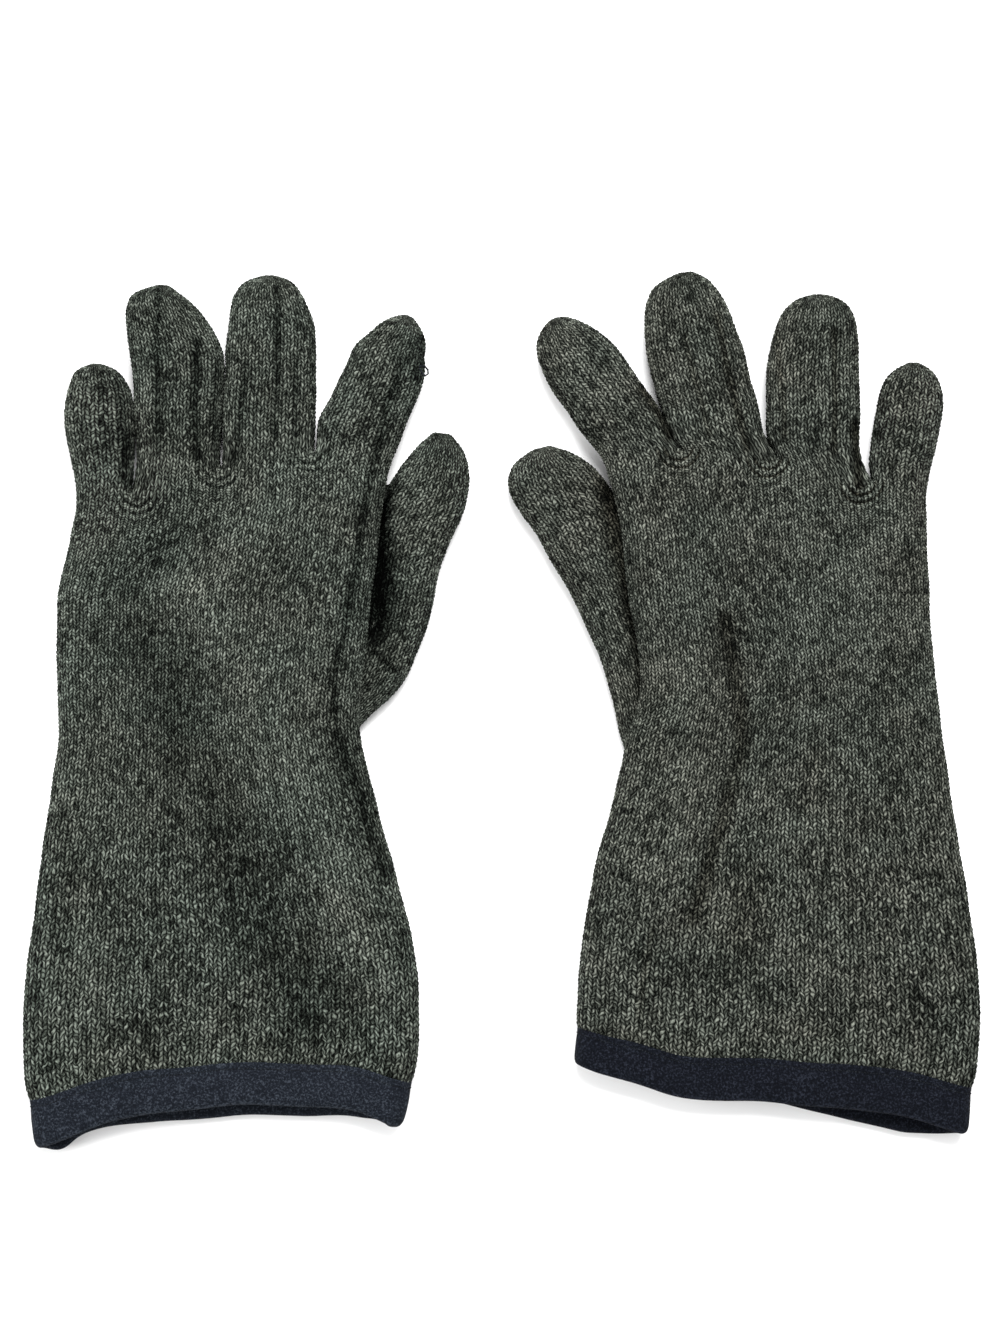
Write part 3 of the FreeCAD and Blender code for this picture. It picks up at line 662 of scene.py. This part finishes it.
def add_piece(name, points, normals, corners, uv, material, painted_shading=None):
    used, index = np.unique(corners, return_inverse=True)
    index = index.reshape(corners.shape)
    mesh = bpy.data.meshes.new(name)
    mesh.vertices.add(len(used))
    mesh.vertices.foreach_set("co", points[used].astype(np.float32).ravel())
    mesh.loops.add(index.size)
    mesh.loops.foreach_set("vertex_index", index.astype(np.int32).ravel())
    mesh.polygons.add(len(index))
    mesh.polygons.foreach_set("loop_start", np.arange(len(index), dtype=np.int32) * 4)
    mesh.polygons.foreach_set("use_smooth", np.ones(len(index), bool))
    layer = mesh.uv_layers.new(name="stitch")
    layer.data.foreach_set("uv", uv.astype(np.float32).ravel())
    # painted shading of the knit: painted shade and painted highlight, kept on the points for its material
    if painted_shading is not None:
        shade = mesh.attributes.new("painted_shading", "FLOAT", "POINT")
        shade.data.foreach_set("value", painted_shading[used].astype(np.float32))
    mesh.update(calc_edges=True)
    mesh.materials.append(material)
    mesh.normals_split_custom_set_from_vertices(normals[used].astype(np.float32))
    thing = bpy.data.objects.new(name, mesh)
    bpy.context.scene.collection.objects.link(thing)
    return thing


def attach(thing, side, piece, wrist, glove, local):
    """Parents a cuff piece to its cuff body; the other pieces are only baked where they lie, and the
    places worked out across their joints are not used.
    """
    def place(x, y):
        return tuple(to_row(np.array([[x, y, 0]]), glove, wrist)[0])

    if piece == "cuff":
        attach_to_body(thing, side + "_cuff")
        return
    if piece == "hand":
        place(0, -16)
        place(0, 16)
        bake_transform(thing)
        return
    finger, stretch = piece.rsplit("_", 1)
    root, bend = local(finger + "_root_bend"), local(finger + "_end_bend")
    heading = (bend - root) / np.linalg.norm(bend - root)
    if finger != "thumb":
        heading = np.array((0.0, 1.0))
    if stretch == "base":
        low, high = root - heading * (10 if finger == "thumb" else 4), root + heading * 10
        place(*low)
        place(*high)
        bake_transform(thing)
    else:
        low, high = bend - heading * 7, bend + heading * 8
        place(*low)
        place(*high)
        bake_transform(thing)


# ---- materials --------------------------------------------------------------------------------
class Nodes:
    """Short-hand for building a shader."""

    def __init__(self, name):
        self.material = bpy.data.materials.new(name)
        self.material.use_nodes = True
        self.tree = self.material.node_tree
        self.tree.nodes.clear()
        self.out = self.tree.nodes.new("ShaderNodeOutputMaterial")
        self.shader = self.tree.nodes.new("ShaderNodeBsdfPrincipled")
        self.tree.links.new(self.shader.outputs[0], self.out.inputs[0])

    def put(self, socket, value):
        if isinstance(value, bpy.types.NodeSocket):
            self.tree.links.new(value, socket)
        else:
            socket.default_value = value

    def math(self, kind, a, b=0.0, c=0.0):
        node = self.tree.nodes.new("ShaderNodeMath")
        node.operation = kind
        for socket, value in zip(node.inputs, (a, b, c)):
            self.put(socket, value)
        return node.outputs[0]

    def join(self, x, y, z=0.0):
        node = self.tree.nodes.new("ShaderNodeCombineXYZ")
        for socket, value in zip(node.inputs, (x, y, z)):
            self.put(socket, value)
        return node.outputs[0]

    def noise(self, vector, scale, detail=2.0, rough=0.5):
        node = self.tree.nodes.new("ShaderNodeTexNoise")
        self.put(node.inputs["Vector"], vector)
        node.inputs["Scale"].default_value = scale
        node.inputs["Detail"].default_value = detail
        node.inputs["Roughness"].default_value = rough
        return node.outputs[0]

    def white(self, vector):
        node = self.tree.nodes.new("ShaderNodeTexWhiteNoise")
        node.noise_dimensions = "3D"
        self.put(node.inputs["Vector"], vector)
        return node.outputs[0]

    def ramp(self, value, stops):
        node = self.tree.nodes.new("ShaderNodeValToRGB")
        self.put(node.inputs[0], value)
        ramp = node.color_ramp
        while len(ramp.elements) < len(stops):
            ramp.elements.new(0.5)
        for element, (at, colour) in zip(ramp.elements, stops):
            element.position = at
            element.color = tuple(colour) + (1.0,)
        return node.outputs[0]

    def mix(self, kind, factor, a, b):
        node = self.tree.nodes.new("ShaderNodeMix")
        node.data_type = "RGBA"
        node.blend_type = kind
        self.put(node.inputs[0], factor)
        self.put(node.inputs[6], a)
        self.put(node.inputs[7], b)
        return node.outputs[2]

    def bump(self, height, distance, strength=1.0):
        node = self.tree.nodes.new("ShaderNodeBump")
        node.inputs["Strength"].default_value = strength
        node.inputs["Distance"].default_value = distance
        self.put(node.inputs["Height"], height)
        self.tree.links.new(node.outputs[0], self.shader.inputs["Normal"])

    def value(self, name):
        node = self.tree.nodes.new("ShaderNodeAttribute")
        node.attribute_name = name
        return node.outputs["Fac"]

    def place(self):
        node = self.tree.nodes.new("ShaderNodeTexCoord")
        return node.outputs["Object"]

    def stitch(self):
        node = self.tree.nodes.new("ShaderNodeUVMap")
        node.uv_map = "stitch"
        parts = self.tree.nodes.new("ShaderNodeSeparateXYZ")
        self.tree.links.new(node.outputs[0], parts.inputs[0])
        return parts.outputs[0], parts.outputs[1]


def knit_material(name, dark, middle, light, seed, crease):
    """Marled stocking stitch with painted shade in the gaps between the yarn's legs and painted shading
    from the mesh; crease is the colour cast multiplied in where that painted shade lies.
    """
    n = Nodes(name)
    place = n.place()
    u, v = n.stitch()
    # no two stitches are quite alike
    u = n.math("ADD", u, n.math("MULTIPLY_ADD", n.noise(place, 420.0, 1.0), 0.7, -0.35))
    v = n.math("ADD", v, n.math("MULTIPLY_ADD", n.noise(place, 330.0, 1.0), 1.4, -0.7))
    s = n.math("ABSOLUTE", n.math("SUBTRACT", n.math("MULTIPLY", n.math("FRACT", u), 2.0), 1.0))
    run = n.math("SUBTRACT", v, n.math("MULTIPLY", s, SLANT))
    row = n.math("FLOOR", run)
    tooth = n.math("FRACT", run)
    leg = n.math("FLOOR", n.math("MULTIPLY", u, 2.0))
    across = n.math("SINE", n.math("MULTIPLY_ADD", s, 0.88 * math.pi, 0.06 * math.pi))
    along = n.math("SINE", n.math("MULTIPLY", tooth, math.pi))
    yarn = n.math("MULTIPLY", across, n.math("MULTIPLY_ADD", along, 0.68, 0.32))
    # the yarn's own colour changes along a row, so light and dark lie in short dashes
    along_row = n.join(n.math("MULTIPLY", u, 0.55), n.math("MULTIPLY", row, 0.8), seed)
    dash = n.noise(along_row, 1.0, 3.0, 0.75)
    speck = n.white(n.join(leg, row, seed))
    along_yarn = n.join(n.math("MULTIPLY", u, 6.0), n.math("MULTIPLY", run, 2.6), seed)
    fibre = n.noise(along_yarn, 1.0, 3.0, 0.8)
    patch = n.noise(place, 55.0, 3.0, 0.6)
    tone = n.math("MULTIPLY_ADD", dash, 0.6, 0.2)
    tone = n.math("ADD", tone, n.math("MULTIPLY_ADD", speck, 0.50, -0.25))
    tone = n.math("ADD", tone, n.math("MULTIPLY_ADD", fibre, 1.6, -0.8))
    tone = n.math("ADD", tone, n.math("MULTIPLY_ADD", patch, 0.5, -0.25))
    # painted shading from the mesh: painted shade darkens the yarn in creases, grooves and the groove by
    # the thumb, painted highlight lightens it on ridges
    painted_shading = n.value("painted_shading")
    tone = n.math("MULTIPLY_ADD", painted_shading, -0.25, tone)
    colour = n.ramp(tone, ((0.2, dark), (0.5, middle), (0.85, light)))
    tint = n.ramp(n.noise(place, 40.0, 2.0), ((0.35, (0.95, 1.0, 0.97)), (0.65, (1.0, 0.985, 0.95))))
    colour = n.mix("MULTIPLY", 1.0, colour, tint)
    # the crease colour cast is multiplied in where the painted shade lies
    painted_shade_share = n.math("MINIMUM", n.math("MAXIMUM", painted_shading, 0.0), 1.0)
    colour = n.mix("MULTIPLY", painted_shade_share, colour, crease + (1.0,))
    # painted shade in the gaps between the yarn's legs, made deeper by the painted shading on the mesh
    lit = n.math("MULTIPLY", yarn, n.math("MULTIPLY_ADD", painted_shading, -0.6, 1.0))
    shade = n.ramp(lit, ((0.20, (0.01, 0.01, 0.01)), (0.60, (0.36, 0.36, 0.36)), (0.95, (1.0, 1.0, 1.0))))
    n.put(n.shader.inputs["Base Color"], n.mix("MULTIPLY", 1.0, colour, shade))
    n.shader.inputs["Roughness"].default_value = 0.95
    n.shader.inputs["Specular IOR Level"].default_value = 0.03
    fuzz = n.noise(place, 2600.0, 2.0, 0.7)
    n.bump(n.math("MULTIPLY_ADD", fuzz, 0.35, yarn), 0.0006, 0.8)
    return n.material


def tape_material(name, base, light):
    n = Nodes(name)
    place = n.place()
    u, v = n.stitch()
    rib = n.math("SINE", n.math("MULTIPLY", u, 2 * math.pi))
    fleck = n.noise(place, 1250.0, 2.0, 0.7)
    cloud = n.noise(place, 130.0, 3.0, 0.6)
    # painted highlight along the tape's fold, where its fluffy worn edge would catch the light
    past_fold = n.math("ABSOLUTE", n.math("SUBTRACT", v, FOLD_ROW))
    edge = n.math("MAXIMUM", n.math("SUBTRACT", 1.0, past_fold), 0.0)
    tone = n.math("ADD", n.math("MULTIPLY", fleck, 0.88), n.math("MULTIPLY", cloud, 0.12))
    tone = n.math("MULTIPLY_ADD", rib, 0.02, tone)
    tone = n.math("MULTIPLY_ADD", edge, 0.10, tone)
    middle = [c * 1.7 for c in base]
    n.put(n.shader.inputs["Base Color"], n.ramp(tone, ((0.40, base), (0.52, middle), (0.66, light))))
    n.shader.inputs["Roughness"].default_value = 0.93
    n.shader.inputs["Specular IOR Level"].default_value = 0.05
    n.bump(n.math("MULTIPLY_ADD", rib, 0.15, fleck), 0.0005, 0.7)
    return n.material


DARK, MIDDLE, LIGHT = (0.009, 0.0105, 0.0088), (0.080, 0.087, 0.075), (0.19, 0.20, 0.175)
KNIT_CLOTH = {
    "left": knit_material("knit_left", DARK, (0.079, 0.090, 0.077), (0.187, 0.205, 0.180), 3.0,
                          (0.92, 1.0, 0.97)),
    "right": knit_material("knit_right", DARK, MIDDLE, LIGHT, 8.0, (1.0, 0.82, 0.66)),
}
liner_cloth = knit_material("liner", (0.02, 0.024, 0.02), (0.06, 0.066, 0.058), (0.16, 0.17, 0.155), 11.0,
                            (1.0, 1.0, 1.0))
TAPE_CLOTH = {
    "left": tape_material("tape_left", (0.0044, 0.0056, 0.0080), (0.030, 0.036, 0.046)),
    "right": tape_material("tape_right", (0.0020, 0.0025, 0.0040), (0.014, 0.0165, 0.024)),
}
thread_cloth = tape_material("thread", (0.0045, 0.0052, 0.0066), (0.021, 0.024, 0.028))


# ---- making both gloves -------------------------------------------------------------------------
def build(side):
    glove = GLOVES[side]
    knit, coarse, wrist, local = knit_glove(side)
    mesh = make_mesh(side + "_coarse", coarse, knit.cells, knit.stitch, knit.piece)
    for _ in range(THUMB_ROOT + 1):
        mesh.materials.append(KNIT_CLOTH[side])
    for layer, levels in (("shell", 2), ("liner", 1)):
        fine = subdivided(mesh, levels)
        points, normals, corners, uv, piece = arrays(fine)
        bpy.data.meshes.remove(fine)
        thumb_parts = [THUMB_ROOT, PART_OF["thumb_base"], PART_OF["thumb_tip"]]
        thumb_faces = np.isin(piece, thumb_parts)
        on_thumb = np.zeros(len(points), bool)
        on_thumb[corners[thumb_faces].ravel()] = True
        piece = np.where(piece == THUMB_ROOT, PART_OF["hand"], piece)
        painted_shading = shape(points, glove, on_thumb)
        normals = point_normals(points, corners)
        at = np.zeros((len(points), 2))
        at[corners.ravel()] = uv.reshape(-1, 2)
        if layer == "shell":
            rise = stitch_height(at[:, 0], at[:, 1]) * STITCH_RISE - 0.25
            bare = under_tape(at[:, 1]) * np.where(on_thumb, 0, 1) + on_thumb
            points = points + normals * (rise * bare - 0.5 * (1 - bare))[:, None]
        else:
            points = points - normals * (WALL + 0.2)
        points[:, 2] = np.maximum(points[:, 2], FLOOR)
        if glove["way"] < 0:
            corners, uv = corners[:, ::-1], uv[:, ::-1]
        points = to_row(points, glove, wrist)
        facing = point_normals(points, corners)
        for i, name in enumerate(PIECES):
            here = piece == i
            label = "knit" if layer == "shell" else "lining"
            thing = add_piece("%s_%s_%s" % (side, name, label), points, facing, corners[here],
                              uv[here], KNIT_CLOTH[side] if layer == "shell" else liner_cloth, painted_shading)
            attach(thing, side, name, wrist, glove, local)
            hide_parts("%s_%s_%s" % (side, name, layer))
    binding(side, glove, coarse, wrist)


def binding(side, glove, coarse, wrist):
    """The folded tape round the hem and the line of stitches that holds it."""
    low_part = coarse[:WALES * FLAT_RINGS].copy()
    shape(low_part, glove, np.zeros(len(low_part), bool))
    rings = low_part.reshape(FLAT_RINGS, WALES, 3)
    # the smooth knit runs just inside its coarse points
    rings = (np.roll(rings, 1, 1) + 4 * rings + np.roll(rings, -1, 1)) / 6
    count = WALES * 3
    turn = np.arange(count) / 3.0
    low = np.floor(turn).astype(int)
    share = (turn - low)[:, None]

    def ring_at(up):
        k = np.clip(up / CELL, 0, 8.999)
        r = int(k)
        ring = rings[r] + (rings[r + 1] - rings[r]) * (k - r)
        if up < 0:
            ring = ring + (rings[0] - rings[1]) / CELL * -up
        fine = ring[low % WALES] * (1 - share) + ring[(low + 1) % WALES] * share
        for _ in range(3):
            fine = (np.roll(fine, 1, 0) + np.roll(fine, -1, 0) + 2 * fine) / 4
        return fine

    def skin_at(off, up):
        ring = ring_at(up)
        along = np.roll(ring, -1, 0) - np.roll(ring, 1, 0)
        out = np.cross(along, (0, 1, 0))
        out /= np.linalg.norm(out, axis=1, keepdims=True)
        puff = np.sin(turn * 0.55 + up * 0.3) * 0.16 + np.sin(turn * 1.9 - up * 0.5) * 0.07
        return ring + out * (off + puff * (off > 0.3))[:, None]

    # outline of the fold: distance outside the knit, distance above the hem
    fold = [(-0.5, TAPE - 0.6), (0.2, TAPE), (0.5, TAPE - 0.5), (0.5, TAPE - 2.0),
            (0.35, TAPE - 2.6), (0.5, TAPE - 3.4), (0.6, TAPE - 7), (0.6, 5.0), (0.6, 2.0),
            (0.4, 0.3), (-0.1, -0.9), (-1.4, -1.5), (-2.8, -1.3), (-3.9, -0.4), (-4.3, 1.5),
            (-4.5, 4.0), (-4.5, 9.0), (-4.4, TAPE)]
    add_strip(side, "hem_tape", [skin_at(*spot) for spot in fold], TAPE_CLOTH[side], glove, wrist,
              "cuff_binding")
    running_stitch(side, glove, wrist, skin_at(0.42, TAPE - 2.6))


def running_stitch(side, glove, wrist, spine):
    """Short lengths of thread sunk in the tape along a ring."""
    points, cells = [], []
    ahead = np.roll(spine, -1, 0)
    for j in range(len(spine)):
        a, b = spine[j], ahead[j]
        run = b - a
        span = np.linalg.norm(run)
        if span < 0.2:
            continue
        run /= span
        up = np.array((0, 1.0, 0))
        out = np.cross(up, run)
        out /= -np.linalg.norm(out)
        first = len(points)
        for t, size in ((0.12, 0.08), (0.3, 0.26), (0.6, 0.26), (0.8, 0.08)):
            centre = a + (b - a) * t
            for k in range(6):
                angle = k * math.pi / 3
                points.append(centre + (up * math.cos(angle) + out * math.sin(angle)) * size)
        for ring in range(3):
            for k in range(6):
                m = (k + 1) % 6
                cells.append((first + ring * 6 + k, first + ring * 6 + m, first + ring * 6 + 6 + m,
                              first + ring * 6 + 6 + k))
    points = to_row(np.array(points), glove, wrist)
    cells = np.array(cells)
    if glove["way"] < 0:
        cells = cells[:, ::-1]
    uv = np.zeros((len(cells), 4, 2))
    facing = point_normals(points, cells)
    thing = add_piece(side + "_hem_thread", points, facing, cells, uv, thread_cloth)
    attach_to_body(thing, side + "_cuff")
    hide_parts(side + "_binding_stitch")


def add_strip(side, name, rings, material, glove, wrist, node):
    """A smooth band through rings of equal length."""
    rows, count = len(rings), len(rings[0])
    points = np.vstack(rings)
    points[:, 2] = np.maximum(points[:, 2], FLOOR)
    points = to_row(points, glove, wrist)
    row, place = np.meshgrid(np.arange(rows - 1), np.arange(count), indexing="ij")
    row, place = row.ravel(), place.ravel()
    after = (place + 1) % count
    cells = np.stack([row * count + place, (row + 1) * count + place, (row + 1) * count + after,
                      row * count + after], 1)
    uv = np.stack([place * 2, row, place * 2, row + 1, place * 2 + 2, row + 1, place * 2 + 2, row], 1)
    uv = uv.reshape(-1, 4, 2).astype(float)
    if glove["way"] < 0:
        cells, uv = cells[:, ::-1], uv[:, ::-1]
    fine = subdivided(make_mesh(side + "_strip", points, cells.tolist(), uv, np.zeros(len(cells))), 1)
    points, _, corners, uv, _ = arrays(fine)
    thing = add_piece(side + "_" + name, points, point_normals(points, corners), corners, uv, material)
    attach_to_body(thing, side + "_cuff")
    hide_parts(side + "_" + node)


def yarn_loop():
    """A loop of yarn pulled out at the side of the left index finger."""
    glove = GLOVES["left"]
    wrist = joint_place("left_wrist_bend")
    path = np.array(LOOP, float)
    count, sides = len(path), 8
    points, cells = [], []
    for i, centre in enumerate(path):
        ahead = path[min(i + 1, count - 1)] - path[max(i - 1, 0)]
        ahead /= np.linalg.norm(ahead)
        first = np.cross(ahead, (0, 0, 1))
        first /= np.linalg.norm(first)
        second = np.cross(first, ahead)
        for k in range(sides):
            turn = 2 * math.pi * k / sides
            points.append(centre + LOOP_YARN * (first * math.cos(turn) + second * math.sin(turn)))
    for i in range(count - 1):
        for k in range(sides):
            m = (k + 1) % sides
            cells.append((i * sides + k, (i + 1) * sides + k, (i + 1) * sides + m, i * sides + m))
    points, cells = to_row(np.array(points), glove, wrist), np.array(cells)
    uv = np.zeros((len(cells), 4, 2))
    facing = point_normals(points, cells)
    thing = add_piece("left_index_yarn_loop", points, facing, cells, uv, thread_cloth)
    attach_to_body(thing, "left_index_tip")


for side in GLOVES:
    build(side)
yarn_loop()


# ---- floor, light and camera ----------------------------------------------------------------------
FLOOR_REACH = 15.0          # half the side of the floor, in metres
LAMPS = (("key", (0.2, 1.05, 1.45), 0.9, 61.0),     # name, place, size in metres, watts
         ("fill", (-1.5, 0.0, 0.9), 1.2, 22.0))
SKY = 0.9                   # strength of the even light from all round
CAMERA = (0.0008, 0.0148, 1.1)
SEEN = 0.490                # height of the picture at the tops of the gloves
TOPS = 0.010
SENSOR = 36.0


def floor_and_light():
    n = Nodes("floor")
    n.shader.inputs["Base Color"].default_value = (0.9, 0.9, 0.9, 1)
    n.shader.inputs["Roughness"].default_value = 0.8
    mesh = bpy.data.meshes.new("floor")
    far = FLOOR_REACH
    mesh.from_pydata([(-far, -far, 0), (far, -far, 0), (far, far, 0), (-far, far, 0)], [], [(0, 1, 2, 3)])
    mesh.materials.append(n.material)
    floor = bpy.data.objects.new("floor", mesh)
    bpy.context.scene.collection.objects.link(floor)
    for name, spot, size, power in LAMPS:
        lamp = bpy.data.lights.new(name, "AREA")
        lamp.size = size
        lamp.energy = power
        thing = bpy.data.objects.new(name, lamp)
        bpy.context.scene.collection.objects.link(thing)
        thing.location = spot
        x, y, z = spot
        thing.rotation_euler = (math.atan2(math.hypot(x, y), z), 0, math.atan2(y, x) + math.pi / 2)
    world = bpy.data.worlds.new("studio")
    world.use_nodes = True
    world.node_tree.nodes["Background"].inputs[0].default_value = (1, 1, 1, 1)
    world.node_tree.nodes["Background"].inputs[1].default_value = SKY
    bpy.context.scene.world = world
    bpy.context.scene.view_settings.view_transform = "Standard"


def look_down():
    camera = bpy.data.cameras.new("camera")
    camera.sensor_width = SENSOR
    camera.lens = SENSOR * (CAMERA[2] - TOPS) / SEEN
    camera.clip_end = 20.0
    thing = bpy.data.objects.new("camera", camera)
    bpy.context.scene.collection.objects.link(thing)
    thing.location = CAMERA
    bpy.context.scene.camera = thing


floor_and_light()
look_down()
